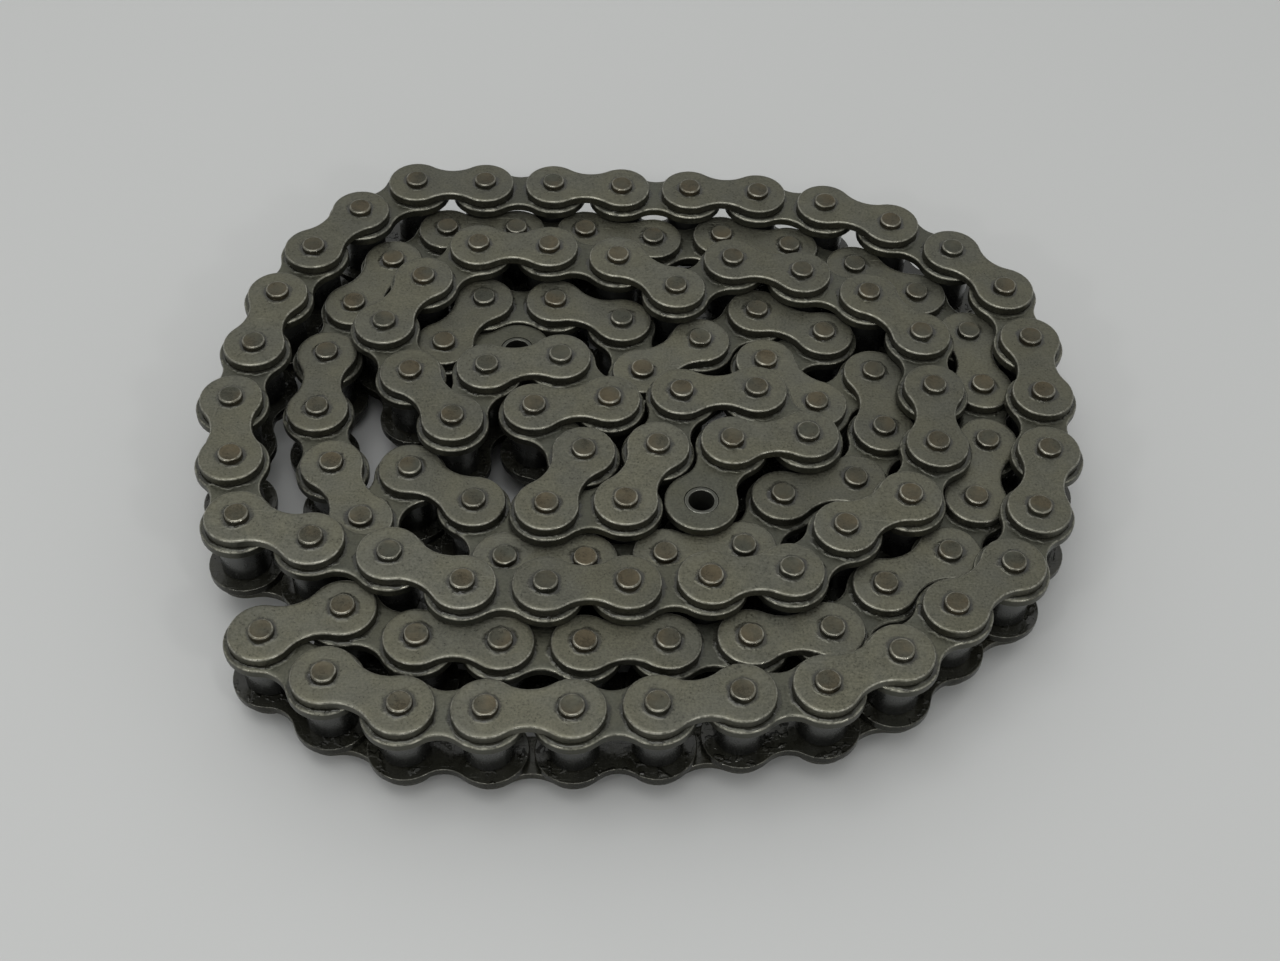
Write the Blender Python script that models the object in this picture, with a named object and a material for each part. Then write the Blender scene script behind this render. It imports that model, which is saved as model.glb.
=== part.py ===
"""A length of heavy roller chain, laid down as a flat coil on the ends of its pins.

The strand has 115 pitches. It starts as a free end inside the coil, goes out and round, comes back
round below itself, and ends as a second free end inside. Inner links (two plates, two bushes, two
rollers) and outer links (two plates, two riveted pins) alternate along it, and both ends are inner
links with an open bush. The first turns lie one step higher than the later ones, with their lower
plates resting inside the gap of the turns below.

The chain is modelled in sections. A section is one outer link and the inner link after it, which are
solid with each other at the joint they share. Every section turns freely on the next one.
"""

import math

import bmesh
import bpy
import numpy as np
from mathutils import Matrix, Vector

MM = 0.001

# The chain's own size, in metres: a standard 3/4 inch roller chain
PITCH = 0.01905
ROLLER_RADIUS = 0.01191 / 2
PIN_RADIUS = 0.00594 / 2
PIN_LENGTH = 0.0254
BORE_RADIUS = 0.0031
PLATE_THICKNESS = 0.00242
INNER_WIDTH = 0.01257
PLATE_PLAY = 0.00025
INNER_PLATE_HEIGHT = 0.01808
OUTER_PLATE_HEIGHT = 0.0156
INNER_WAIST = 0.0118
OUTER_WAIST = 0.0100

# Heights from the strand's middle plane
INNER_PLATE_BOTTOM = INNER_WIDTH / 2
INNER_PLATE_TOP = INNER_PLATE_BOTTOM + PLATE_THICKNESS
OUTER_PLATE_BOTTOM = INNER_PLATE_TOP + PLATE_PLAY
OUTER_PLATE_TOP = OUTER_PLATE_BOTTOM + PLATE_THICKNESS
PIN_TOP = PIN_LENGTH / 2

# How finely round things are cut. Inside a bush the pin is square, which the plates hide.
LOBE_SEGMENTS = 5
ROLLER_SIDES = 6
PIN_HEAD_SIDES = 6
HIDDEN_PIN_SIDES = 4
OPEN_BORE_SIDES = 12

# The clear space round a pin in the bush of the next section
PIN_CLEARANCE = 0.00033

# How far a piece runs into the one that it is seated in, so that the two become one solid
SEAT = 0.001

# Where the joints of the strand lie, in whole millimetres from the middle of the coil, from the raised
# free end to the lower one. settle() then brings every link to one pitch and the strands clear of each
# other.
ROUTE = [
    (17, -24), (24, -6), (42, -2), (29, 11), (10, 9), (6, -9), (-1, -27), (-20, -30),
    (-13, -13), (-26, 1), (-8, 5), (-22, 18), (-40, 13), (-46, -5), (-59, 9), (-68, 26),
    (-60, 43), (-47, 57), (-28, 58), (-9, 56), (7, 46), (21, 58), (40, 55), (58, 48),
    (71, 35), (74, 16), (74, -3), (66, -21), (51, -32), (38, -46), (19, -50), (0, -53),
    (-19, -54), (-38, -55), (-55, -49), (-74, -46), (-93, -42), (-98, -23), (-102, -5), (-100, 14),
    (-98, 33), (-92, 51), (-82, 68), (-68, 80), (-49, 82), (-30, 83), (-11, 84), (8, 85),
    (27, 86), (46, 84), (64, 78), (81, 68), (94, 54), (99, 36), (102, 17), (102, -2),
    (98, -21), (91, -38), (76, -51), (62, -63), (45, -73), (27, -79), (8, -81), (-11, -84),
    (-30, -85), (-49, -86), (-67, -80), (-82, -69), (-65, -62), (-47, -67), (-28, -67), (-9, -66),
    (10, -64), (29, -61), (48, -58), (60, -43), (76, -33), (84, -15), (88, 3), (88, 23),
    (85, 41), (72, 55), (55, 65), (37, 71), (18, 73), (0, 70), (-20, 71), (-39, 70),
    (-57, 68), (-71, 55), (-78, 37), (-82, 19), (-82, 0), (-75, -18), (-65, -34), (-56, -18),
    (-39, -26), (-29, -43), (-10, -42), (9, -39), (28, -35), (36, -18), (54, -12), (62, 6),
    (59, 25), (45, 13), (31, 27), (47, 38), (29, 45), (14, 32), (-1, 20), (-7, 38),
    (-26, 43), (-45, 42), (-53, 25), (-34, 27),
]

# How high the strand lies above its lowest place, in metres, at some of its joints
LIFTS = [(0, 0.0055), (22, 0.0055), (34, 0.0073), (48, 0.0055), (57, 0.0054), (67, 0.0022),
         (69, 0.0021), (77, 0.0), (115, 0.0)]

# The space left between strands that lie against each other, and how the lay is settled
STRAND_CLEARANCE = 0.00035
SETTLE_ROUNDS = 4000
SETTLE_SHARE = 0.35
FIRST_PITCH_ROUNDS = 20
PITCH_ROUNDS = 4
LAST_PITCH_ROUNDS = 200
NEIGHBOUR_REACH = 0.03
LEVELLING_ROUNDS = 60

# How far the straight sides that stand in for a plate's hollow ones bulge out past them
SIDE_BULGE = 0.0003

STEEL_COLOUR = (0.125, 0.122, 0.1, 1.0)
STEEL_ROUGHNESS = 0.42
STEEL_METALLIC = 0.85


def clear_scene():
    for item in list(bpy.data.objects):
        bpy.data.objects.remove(item)


def oiled_steel(piece_name):
    """The dark, oiled steel of one piece of the chain."""
    material = bpy.data.materials.new(f"{piece_name}_steel")
    material.use_nodes = True
    shader = material.node_tree.nodes["Principled BSDF"]
    shader.inputs["Base Color"].default_value = STEEL_COLOUR
    shader.inputs["Roughness"].default_value = STEEL_ROUGHNESS
    shader.inputs["Metallic"].default_value = STEEL_METALLIC
    return material


def lift_at(joint):
    """Height of a joint above the lowest place of the strand, eased between the stated joints."""
    for (start, low), (end, high) in zip(LIFTS, LIFTS[1:]):
        if joint <= end:
            share = (joint - start) / (end - start)
            eased = 2 * share ** 2 if share < 0.5 else 1 - 2 * (1 - share) ** 2
            return low + (high - low) * eased
    return LIFTS[-1][1]


def joint_heights():
    """Height of each joint's middle. A section is straight, so its middle joint is halfway up it."""
    count = len(ROUTE)
    heights = [PIN_TOP + lift_at(joint) for joint in range(count)]
    for joint in range(2, count - 1, 2):
        heights[joint] = (heights[joint - 1] + heights[joint + 1]) / 2
    return np.array(heights)


def round_places(joint, count):
    """The round places of the strand at a joint, or halfway along a link: (bottom, top, radius)."""
    whole = joint == int(joint)
    is_end = joint in (0, count - 1)
    is_outer_link = int(joint) % 2 == 1
    upper = []
    if whole or not is_outer_link:
        width = INNER_PLATE_HEIGHT if whole else INNER_WAIST + 2 * SIDE_BULGE
        upper.append((INNER_PLATE_BOTTOM, INNER_PLATE_TOP, width / 2))
    if (whole and not is_end) or (not whole and is_outer_link):
        width = OUTER_PLATE_HEIGHT if whole else OUTER_WAIST + 2 * SIDE_BULGE
        upper.append((OUTER_PLATE_BOTTOM, OUTER_PLATE_TOP, width / 2))
    if whole and not is_end:
        upper.append((OUTER_PLATE_TOP, PIN_TOP, PIN_RADIUS))
    lower = [(-top, -bottom, radius) for bottom, top, radius in upper]
    roller = [(-INNER_PLATE_BOTTOM, INNER_PLATE_BOTTOM, ROLLER_RADIUS)] if whole else []
    return upper + lower + roller


def nearest_allowed(first, second, rise):
    """How near two round stacks may come when the second lies higher by the rise."""
    allowed = 0.0
    for bottom_a, top_a, radius_a in first:
        for bottom_b, top_b, radius_b in second:
            meets = bottom_b + rise < top_a and bottom_a < top_b + rise
            if meets:
                allowed = max(allowed, radius_a + radius_b + STRAND_CLEARANCE)
    return allowed


def strand_places(joints):
    """The joints, and then the middle of each link."""
    return np.vstack([joints, (joints[1:] + joints[:-1]) / 2])


def contact_pairs(joints, heights):
    """Pairs of places on different links that can meet, with the distance they have to keep."""
    count = len(joints)
    places = strand_places(joints)
    levels = np.concatenate([heights, (heights[1:] + heights[:-1]) / 2])
    order = [float(i) for i in range(count)] + [i + 0.5 for i in range(count - 1)]
    stacks = [round_places(joint, count) for joint in order]
    pairs = []
    for a in range(len(places)):
        for b in range(a + 1, len(places)):
            along = abs(order[a] - order[b])
            if along < 2 or np.hypot(*(places[a] - places[b])) > NEIGHBOUR_REACH:
                continue
            keep = nearest_allowed(stacks[a], stacks[b], levels[b] - levels[a])
            if keep > 0:
                pairs.append((a, b, keep))
    first, second, keep = zip(*pairs)
    return np.array(first), np.array(second), np.array(keep)


def push_apart(joints, first, second, keep):
    """Moves the joints so that every pair of places comes nearer to the distance it has to keep."""
    count = len(joints)
    places = strand_places(joints)
    between = places[second] - places[first]
    distance = np.hypot(between[:, 0], between[:, 1])
    missing = np.clip(keep - distance, 0, None)
    step = between / distance[:, None] * (missing * SETTLE_SHARE)[:, None]
    moves = np.zeros_like(places)
    np.add.at(moves, second, step)
    np.add.at(moves, first, -step)
    joints += moves[:count]
    joints[1:] += moves[count:] / 2
    joints[:-1] += moves[count:] / 2


def restore_pitch(joints, spans):
    """Brings each link back to its own length, first every other link and then the rest."""
    for parity in (0, 1):
        start = np.arange(parity, len(joints) - 1, 2)
        link = joints[start + 1] - joints[start]
        length = np.hypot(link[:, 0], link[:, 1])
        shift = link * ((length - spans[start]) / 2 / length)[:, None]
        joints[start] += shift
        joints[start + 1] -= shift


def settle(route, heights):
    """Lays the strand along the route with true pitches and nothing overlapping, seen from above."""
    joints = np.array(route) * MM
    spans = np.sqrt(PITCH ** 2 - (heights[1:] - heights[:-1]) ** 2)
    for _ in range(FIRST_PITCH_ROUNDS):
        restore_pitch(joints, spans)
    first, second, keep = contact_pairs(joints, heights)
    for _ in range(SETTLE_ROUNDS):
        push_apart(joints, first, second, keep)
        for _ in range(PITCH_ROUNDS):
            restore_pitch(joints, spans)
    for _ in range(LAST_PITCH_ROUNDS):
        restore_pitch(joints, spans)
    return joints


def plate_outline(height, waist):
    """A figure 8: two round ends on the pitch, joined by hollow sides that touch both circles."""
    radius = height / 2
    half_pitch = PITCH / 2
    half_waist = waist / 2
    hollow = (half_pitch ** 2 + half_waist ** 2 - radius ** 2) / (2 * (radius - half_waist))
    last_angle = math.atan2(half_waist + hollow, -half_pitch)
    points = []
    for side in (1, -1):
        for step in range(LOBE_SEGMENTS + 1):
            angle = last_angle * (2 * step / LOBE_SEGMENTS - 1)
            points.append((side * (half_pitch + radius * math.cos(angle)), side * radius * math.sin(angle)))
        points.append((0.0, side * half_waist))
    return points


def polygon(radius, sides):
    """A regular outline with its corners on the radius and a flat side towards +X."""
    turn = 2 * math.pi / sides
    return [(radius * math.cos(turn * (i + 0.5)), radius * math.sin(turn * (i + 0.5))) for i in range(sides)]


def add_prism(mesh, outline, bottom, top, centre=(0.0, 0.0), heading=0.0):
    """Adds an upright prism on an outline that is turned to the heading and moved to the centre."""
    cosine = math.cos(heading)
    sine = math.sin(heading)
    corners = []
    for x, y in outline:
        turned = (centre[0] + x * cosine - y * sine, centre[1] + x * sine + y * cosine, bottom)
        corners.append(mesh.verts.new(turned))
    base = mesh.faces.new(corners)
    raised = bmesh.ops.extrude_face_region(mesh, geom=[base])
    lifted = [item for item in raised["geom"] if isinstance(item, bmesh.types.BMVert)]
    bmesh.ops.translate(mesh, vec=(0.0, 0.0, top - bottom), verts=lifted)
    bmesh.ops.recalc_face_normals(mesh, faces=mesh.faces)


def add_plate_pair(mesh, height, waist, bottom, top, start, heading):
    """Adds the upper and the lower plate of a link that runs from start along its heading."""
    outline = plate_outline(height, waist)
    middle = (start[0] + PITCH / 2 * math.cos(heading), start[1] + PITCH / 2 * math.sin(heading))
    add_prism(mesh, outline, bottom, top, middle, heading)
    add_prism(mesh, outline, -top, -bottom, middle, heading)


def solid_object(name, fill):
    """Makes an object from what the fill function adds to an empty mesh."""
    mesh = bmesh.new()
    fill(mesh)
    data = bpy.data.meshes.new(name)
    mesh.to_mesh(data)
    mesh.free()
    item = bpy.data.objects.new(name, data)
    bpy.context.collection.objects.link(item)
    return item


def combine(target, operation, tools):
    """Unites the tools with the target, or cuts them out of it, and removes them."""
    for tool in tools:
        modifier = target.modifiers.new(operation.lower(), "BOOLEAN")
        modifier.operation = operation
        modifier.object = tool
    bpy.context.view_layer.update()
    view = bpy.context.evaluated_depsgraph_get()
    finished = bpy.data.meshes.new_from_object(target.evaluated_get(view))
    target.modifiers.clear()
    target.data = finished
    for tool in tools:
        bpy.data.objects.remove(tool)


def add_bush(mesh, centre, heading):
    """Adds the roller on its bush, with both ends in the inner plates."""
    end = INNER_PLATE_BOTTOM + SEAT
    add_prism(mesh, polygon(ROLLER_RADIUS, ROLLER_SIDES), -end, end, centre, heading)


def add_bore(mesh, centre, heading, is_open):
    """Adds the hole through a bush: round where it is open, or square round the next section's pin."""
    if is_open:
        outline = polygon(BORE_RADIUS, OPEN_BORE_SIDES)
    else:
        flat_to_middle = PIN_RADIUS + PIN_CLEARANCE
        outline = polygon(flat_to_middle / math.cos(math.pi / HIDDEN_PIN_SIDES), HIDDEN_PIN_SIDES)
    add_prism(mesh, outline, -PIN_TOP, PIN_TOP, centre, heading)


def make_end_link(name):
    """An inner link alone, with an open bush at its start and the next section's pin in its end."""
    near = (0.0, 0.0)
    far = (PITCH, 0.0)

    def fill_plates(mesh):
        add_plate_pair(mesh, INNER_PLATE_HEIGHT, INNER_WAIST, INNER_PLATE_BOTTOM, INNER_PLATE_TOP, near, 0.0)

    def fill_bushes(mesh):
        add_bush(mesh, near, 0.0)
        add_bush(mesh, far, 0.0)

    def fill_bores(mesh):
        add_bore(mesh, near, 0.0, is_open=True)
        add_bore(mesh, far, 0.0, is_open=False)

    link = solid_object(name, fill_plates)
    combine(link, "UNION", [solid_object("bushes", fill_bushes)])
    combine(link, "DIFFERENCE", [solid_object("bores", fill_bores)])
    return link


def make_section(name, turn, is_last):
    """An outer link from the origin and the inner link after it, turned at the joint between them.

    The section's first pin is on the origin and its free bush is on +X.
    """
    first = (0.0, 0.0)
    joint = (PITCH * math.cos(turn / 2), -PITCH * math.sin(turn / 2))
    far = (2 * PITCH * math.cos(turn / 2), 0.0)
    outer_heading = -turn / 2
    inner_heading = turn / 2

    def fill_plates(mesh):
        add_plate_pair(
            mesh, OUTER_PLATE_HEIGHT, OUTER_WAIST, OUTER_PLATE_BOTTOM, OUTER_PLATE_TOP, first, outer_heading)
        add_plate_pair(
            mesh, INNER_PLATE_HEIGHT, INNER_WAIST, INNER_PLATE_BOTTOM, INNER_PLATE_TOP, joint, inner_heading)

    def fill_bushes(mesh):
        add_bush(mesh, joint, inner_heading)
        add_bush(mesh, far, inner_heading)

    def fill_pins(mesh):
        for centre in (first, joint):
            add_prism(
                mesh, polygon(PIN_RADIUS, HIDDEN_PIN_SIDES), -PIN_TOP, OUTER_PLATE_BOTTOM + SEAT,
                centre, outer_heading)

    def fill_pin_heads(mesh):
        for centre in (first, joint):
            add_prism(
                mesh, polygon(PIN_RADIUS, PIN_HEAD_SIDES), OUTER_PLATE_TOP - SEAT / 2, PIN_TOP,
                centre, outer_heading)

    def fill_bore(mesh):
        add_bore(mesh, far, inner_heading, is_open=is_last)

    section = solid_object(name, fill_plates)
    additions = [("bushes", fill_bushes), ("pins", fill_pins), ("pin_heads", fill_pin_heads)]
    combine(section, "UNION", [solid_object(title, fill) for title, fill in additions])
    combine(section, "DIFFERENCE", [solid_object("bore", fill_bore)])
    return section


def level_gradients(ends):
    """How each piece slopes, as a climb along X and along Y, with neighbours as level as they can be.

    A piece has to climb from one end to the other, and is free to lean sideways to match its
    neighbours, unless it lies flat on the floor.
    """
    spans = [end - start for start, end in zip(ends, ends[1:])]
    raised = np.array([[max(start.z, end.z) > PIN_TOP] for start, end in zip(ends, ends[1:])])
    flat = np.array([(way.x, way.y) for way in spans])
    length = np.hypot(flat[:, 0], flat[:, 1])[:, None]
    heading = flat / length
    climb = np.array([[way.z] for way in spans]) / length
    gradients = heading * climb
    for _ in range(LEVELLING_ROUNDS):
        padded = np.vstack([gradients[:1], gradients, gradients[-1:]])
        gradients = (padded[:-2] + padded[2:]) / 2
        along = np.sum(gradients * heading, axis=1)[:, None]
        gradients = (gradients + heading * (climb - along)) * raised
    return gradients


def lay(item, start, end, gradient):
    """Places a piece with its origin at start and its +X towards end, on the slope that it lies on."""
    forward = (end - start).normalized()
    upward = Vector((-gradient[0], -gradient[1], 1.0)).normalized()
    turn = Matrix((forward, upward.cross(forward), upward)).transposed().to_4x4()
    item.matrix_world = Matrix.Translation(start) @ turn


def centre_on_origin(pieces):
    """Moves all the pieces together, so that the middle of the coil's outer box is above the origin."""
    corners = [piece.matrix_world @ vertex.co for piece in pieces for vertex in piece.data.vertices]
    middle_x = (min(corner.x for corner in corners) + max(corner.x for corner in corners)) / 2
    middle_y = (min(corner.y for corner in corners) + max(corner.y for corner in corners)) / 2
    for piece in pieces:
        piece.matrix_world = Matrix.Translation((-middle_x, -middle_y, 0.0)) @ piece.matrix_world


def section_turn(start, joint, end):
    """The angle between a section's two links, from the distance between its ends."""
    half = math.acos(min(1.0, (end - start).length / (2 * PITCH)))
    way = end - start
    aside = joint - start
    bends_left = way.x * aside.y - way.y * aside.x < 0
    return 2 * half if bends_left else -2 * half


def build_chain():
    heights = joint_heights()
    settled = settle(ROUTE, heights)
    joints = [Vector((x, y, z)) for (x, y), z in zip(settled.tolist(), heights.tolist())]
    ends = [joints[0]] + joints[1::2]
    gradients = level_gradients(ends)
    pieces = [make_end_link("end_link")]
    section_count = len(ends) - 2
    for number in range(1, section_count + 1):
        turn = section_turn(ends[number], joints[2 * number], ends[number + 1])
        pieces.append(make_section(f"chain_section_{number:02d}", turn, is_last=number == section_count))
    for piece, start, end, gradient in zip(pieces, ends, ends[1:], gradients):
        lay(piece, start, end, gradient)
        piece.data.materials.clear()
        piece.data.materials.append(oiled_steel(piece.name))
    bpy.context.view_layer.update()
    centre_on_origin(pieces)


clear_scene()
build_chain()
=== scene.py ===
# %% [markdown]
# # A coil of roller chain
#
# The object is one length of riveted steel roller chain. It stands on the ends of its pins, folded
# round itself in two nested levels, and both of its ends are free. The solids of the frame say where
# every section of the chain lies. This script reads those places, builds each link there from plates,
# pins, bushes and rollers with their real rounded edges, and gives them their oiled steel.

# %% Load the fixed frame
import math
import random

import bpy
import numpy as np
from mathutils import Matrix, Vector
from mathutils.geometry import normal as face_normal


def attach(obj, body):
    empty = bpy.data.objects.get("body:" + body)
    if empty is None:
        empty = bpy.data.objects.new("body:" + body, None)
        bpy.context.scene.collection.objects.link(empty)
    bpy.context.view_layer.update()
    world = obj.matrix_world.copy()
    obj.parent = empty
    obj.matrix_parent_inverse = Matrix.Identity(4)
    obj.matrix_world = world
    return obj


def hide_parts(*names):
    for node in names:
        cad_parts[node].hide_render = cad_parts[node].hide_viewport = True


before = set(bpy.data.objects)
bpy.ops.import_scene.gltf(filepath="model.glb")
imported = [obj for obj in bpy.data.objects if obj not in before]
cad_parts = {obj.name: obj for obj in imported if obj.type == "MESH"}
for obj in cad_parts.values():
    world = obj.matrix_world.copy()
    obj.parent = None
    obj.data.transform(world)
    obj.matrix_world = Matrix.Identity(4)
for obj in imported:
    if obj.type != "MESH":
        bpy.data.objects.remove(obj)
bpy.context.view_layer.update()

MM = 0.001


# %% [markdown]
# ## The chain's own sizes
#
# Chain is made to a standard, so its sizes are known: this is the one with 3/4 inch from pin to pin.
# The sizes are named here once, in metres, and every piece is worked out from them. Heights are
# measured from the strand's middle plane, because a link is the same above and below it.

# %% Chain sizes in metres
PITCH = 0.01905
HALF_PITCH = PITCH / 2
INNER_PLATE_HEIGHT = 0.01808
OUTER_PLATE_HEIGHT = 0.0156
INNER_WAIST = 0.0118
OUTER_WAIST = 0.0100
INNER_PLATE_BOTTOM = 0.01257 / 2
INNER_PLATE_TOP = INNER_PLATE_BOTTOM + 0.00242
OUTER_PLATE_BOTTOM = INNER_PLATE_TOP + 0.00025
OUTER_PLATE_TOP = OUTER_PLATE_BOTTOM + 0.00242
PIN_TOP = 0.0254 / 2
PIN_RADIUS = 0.00594 / 2
BORE_RADIUS = 0.0031
BUSH_RADIUS = 0.00415
ROLLER_RADIUS = 0.01191 / 2
print("strand is", round(2 * PIN_TOP / MM, 1), "mm high over its pins")

# %% [markdown]
# ## Where each link lies
#
# A section of the frame is an outer link and the inner link after it. Its two pin heads are its highest
# flat faces, and its inner plate is symmetric, so the middle of that plate's corners lies on the link's
# axis. Reading these few corners off each solid gives every joint of the strand, so nothing has to be
# typed in twice. As a test, the second cell prints how closely the sections meet.

# %% Corners and levels of a solid
LEVEL_TOLERANCE = 0.02 * MM
SAME_POINT_DIGITS = 7
NEARLY_UP = 0.9


def corner_points(node):
    """The different corners of a node's mesh."""
    flat = np.empty(len(node.data.vertices) * 3)
    node.data.vertices.foreach_get("co", flat)
    return np.unique(flat.reshape(-1, 3).round(SAME_POINT_DIGITS), axis=0)


def upward(node):
    """The direction square to the node's plates."""
    total = Vector()
    for face in node.data.polygons:
        if face.normal.z > NEARLY_UP:
            total += face.normal * face.area
    return np.array(total.normalized())


def at_level(points, up, level):
    """The points that lie at one height along the up direction."""
    return points[np.abs(points @ up - level) < LEVEL_TOLERANCE]


def one_pitch_on(begin, towards):
    """The place one pitch away from begin in the direction of another place."""
    return begin + (towards - begin) / np.linalg.norm(towards - begin) * PITCH


print("the end link's solid has", len(corner_points(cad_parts["end_link"])), "corners")

# %% Read the joints off the solids
def read_section(node):
    """A section's first pin, its second pin and the far end of its inner link, and its up direction."""
    points = corner_points(node)
    up = upward(node)
    middle = (points @ up).max() - PIN_TOP
    heads = at_level(points, up, middle + PIN_TOP)
    same_head = np.linalg.norm(heads - heads[0], axis=1) < HALF_PITCH
    centres = [heads[same_head].mean(axis=0), heads[~same_head].mean(axis=0)]
    plate = at_level(points, up, middle + INNER_PLATE_TOP)
    centres.sort(key=lambda centre: np.linalg.norm(centre - plate.mean(axis=0)))
    second, first = (centre - up * PIN_TOP for centre in centres)
    far = one_pitch_on(second, plate.mean(axis=0) - up * INNER_PLATE_TOP)
    return first, second, far, up


def read_end_link(node, far):
    """The start of the strand: the open end of its first inner link."""
    points = corner_points(node)
    up = upward(node)
    plate = at_level(points, up, (points @ up).max())
    return one_pitch_on(far, plate.mean(axis=0) - up * INNER_PLATE_TOP), up


section_names = sorted(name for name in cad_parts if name.startswith("chain_section_"))
outer_places = []
inner_places = []
for section_name in section_names:
    first, second, far, up = read_section(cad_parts[section_name])
    outer_places.append((section_name, first, second, up))
    inner_places.append((section_name, second, far, up))
start, start_up = read_end_link(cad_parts["end_link"], outer_places[0][1])
inner_places.insert(0, ("end_link", start, outer_places[0][1], start_up))
spans = [np.linalg.norm(end - begin) / MM for _, begin, end, _ in outer_places + inner_places]
print(len(outer_places), "outer and", len(inner_places), "inner links")
print("pitch in mm from", round(min(spans), 3), "to", round(max(spans), 3))
misses = [np.linalg.norm(inner[2] - outer[1])
          for inner, outer in zip(inner_places[1:], outer_places[1:])]
print("sections meet within", round(max(misses) / MM, 3), "mm")

# %% [markdown]
# ## A mesh with its own corner normals
#
# The plates are flat faces that meet a rolled edge. Blender's averaged normals would smear that edge
# across the whole flat, so every corner is given the normal that the real surface has there. The helper
# below collects rings of points and the faces between them, turns each face outward, and keeps two more
# values for the finish: how much each point has been rubbed, which also sets where the edges get painted
# sheen, and where it lies in its own link.

# %% The mesh collector
class LinkMesh:
    """Collects the points and faces of one link's pieces."""

    def __init__(self):
        self.points = []
        self.edges = []
        self.faces = []
        self.normals = []
        self.slots = []

    def ring(self, points, edge):
        """Adds points that are rubbed alike. Returns their numbers."""
        begin = len(self.points)
        self.points.extend(points)
        self.edges.extend([edge] * len(points))
        return list(range(begin, begin + len(points)))

    def face(self, corners, normals, slot):
        """Adds a face, turned so that it looks the way that its corners' normals point."""
        flat = face_normal([self.points[corner] for corner in corners])
        if flat.dot(sum((Vector(item) for item in normals), Vector())) < 0:
            corners = corners[::-1]
            normals = normals[::-1]
        self.faces.append(corners)
        self.normals.extend(normals)
        self.slots.append(slot)

    def bridge(self, low, high, low_normals, high_normals, slot):
        """Quads between two closed rings with the same number of points."""
        count = len(low)
        for i in range(count):
            j = (i + 1) % count
            self.face([low[i], low[j], high[j], high[i]],
                      [low_normals[i], low_normals[j], high_normals[j], high_normals[i]], slot)

    def open_edges(self):
        """How many edges have other than two faces. A closed mesh has none."""
        uses = {}
        for corners in self.faces:
            for a, b in zip(corners, corners[1:] + corners[:1]):
                key = (min(a, b), max(a, b))
                uses[key] = uses.get(key, 0) + 1
        return sum(1 for count in uses.values() if count != 2)

    def data(self, name, materials):
        """The finished mesh, with its materials, corner normals and the two values for the finish."""
        mesh = bpy.data.meshes.new(name)
        mesh.from_pydata(self.points, [], self.faces)
        for material in materials:
            mesh.materials.append(material)
        mesh.polygons.foreach_set("material_index", self.slots)
        mesh.polygons.foreach_set("use_smooth", [True] * len(self.faces))
        mesh.normals_split_custom_set(self.normals)
        edge = mesh.attributes.new("edge", "FLOAT", "POINT")
        edge.data.foreach_set("value", self.edges)
        place = mesh.attributes.new("place", "FLOAT_VECTOR", "POINT")
        place.data.foreach_set("vector", np.array(self.points, np.float32).ravel())
        return mesh


print("collector ready")

# %% [markdown]
# ## Round profiles
#
# Pins, bushes and rollers are turned parts, so each is a profile swept round an axis. A profile here is
# a list of radius and height with the direction its surface faces, and a rounded corner is a quarter of
# an ellipse. A Screw modifier would do the same, but would not keep the exact normals.

# %% Corners and turned pieces
def rounded(corner, sizes, turn, steps):
    """A quarter ellipse inside a corner, as (radius, height, outward, rise, edge) for each point.

    corner is the sharp corner, sizes how far the rounding reaches in radius and height, and turn the
    signs of the way that the corner points.
    """
    profile = []
    for step in range(steps + 1):
        angle = math.pi / 2 * step / steps
        radius = corner[0] - turn[0] * sizes[0] * (1 - math.sin(angle))
        height = corner[1] - turn[1] * sizes[1] * (1 - math.cos(angle))
        facing = Vector((turn[0] * math.sin(angle) / sizes[0], turn[1] * math.cos(angle) / sizes[1]))
        facing.normalize()
        profile.append((radius, height, facing.x, facing.y, math.sin(2 * angle) ** 0.5))
    return profile


def add_turned(mesh, profile, centre, sides, slot, shape=None, is_tube=False):
    """Sweeps a profile round the upright axis at the centre, from its top to its bottom."""
    rings = []
    facings = []
    for radius, height, outward, rise, edge in profile:
        points = []
        normals = []
        for i in range(sides):
            angle = 2 * math.pi * i / sides
            reach = radius if shape is None else shape(radius, height, angle)
            points.append((centre + reach * math.cos(angle), reach * math.sin(angle), height))
            normals.append((outward * math.cos(angle), outward * math.sin(angle), rise))
        rings.append(mesh.ring(points, edge))
        facings.append(normals)
    for i in range(len(rings) - 1):
        mesh.bridge(rings[i], rings[i + 1], facings[i], facings[i + 1], slot)
    if is_tube:
        mesh.bridge(rings[-1], rings[0], facings[-1], facings[0], slot)
    else:
        mesh.face(rings[0], [(0.0, 0.0, 1.0)] * sides, slot)
        mesh.face(rings[-1], [(0.0, 0.0, -1.0)] * sides, slot)


def mirrored(profile):
    """The same profile on the lower side, so that the two together run from top to bottom."""
    return [(radius, -height, outward, -rise, edge)
            for radius, height, outward, rise, edge in reversed(profile)]


print("a rounded corner has", len(rounded((1, 1), (0.1, 0.1), (1, 1), 3)), "points at 3 steps")

# %% [markdown]
# ## Plates
#
# A link plate is punched from strip: a figure 8 of two round ends joined by hollow sides. The punch
# rolls the edge over on the side where it enters, which is the side that faces out, and it is this
# rolled edge that catches the light. Drawing the outline from its four arcs lets the rim be inset
# exactly, where a Bevel modifier would give slivers at the waist.

# %% Plate outline
LOBE_STEPS = 26
HOLLOW_STEPS = 7


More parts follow.
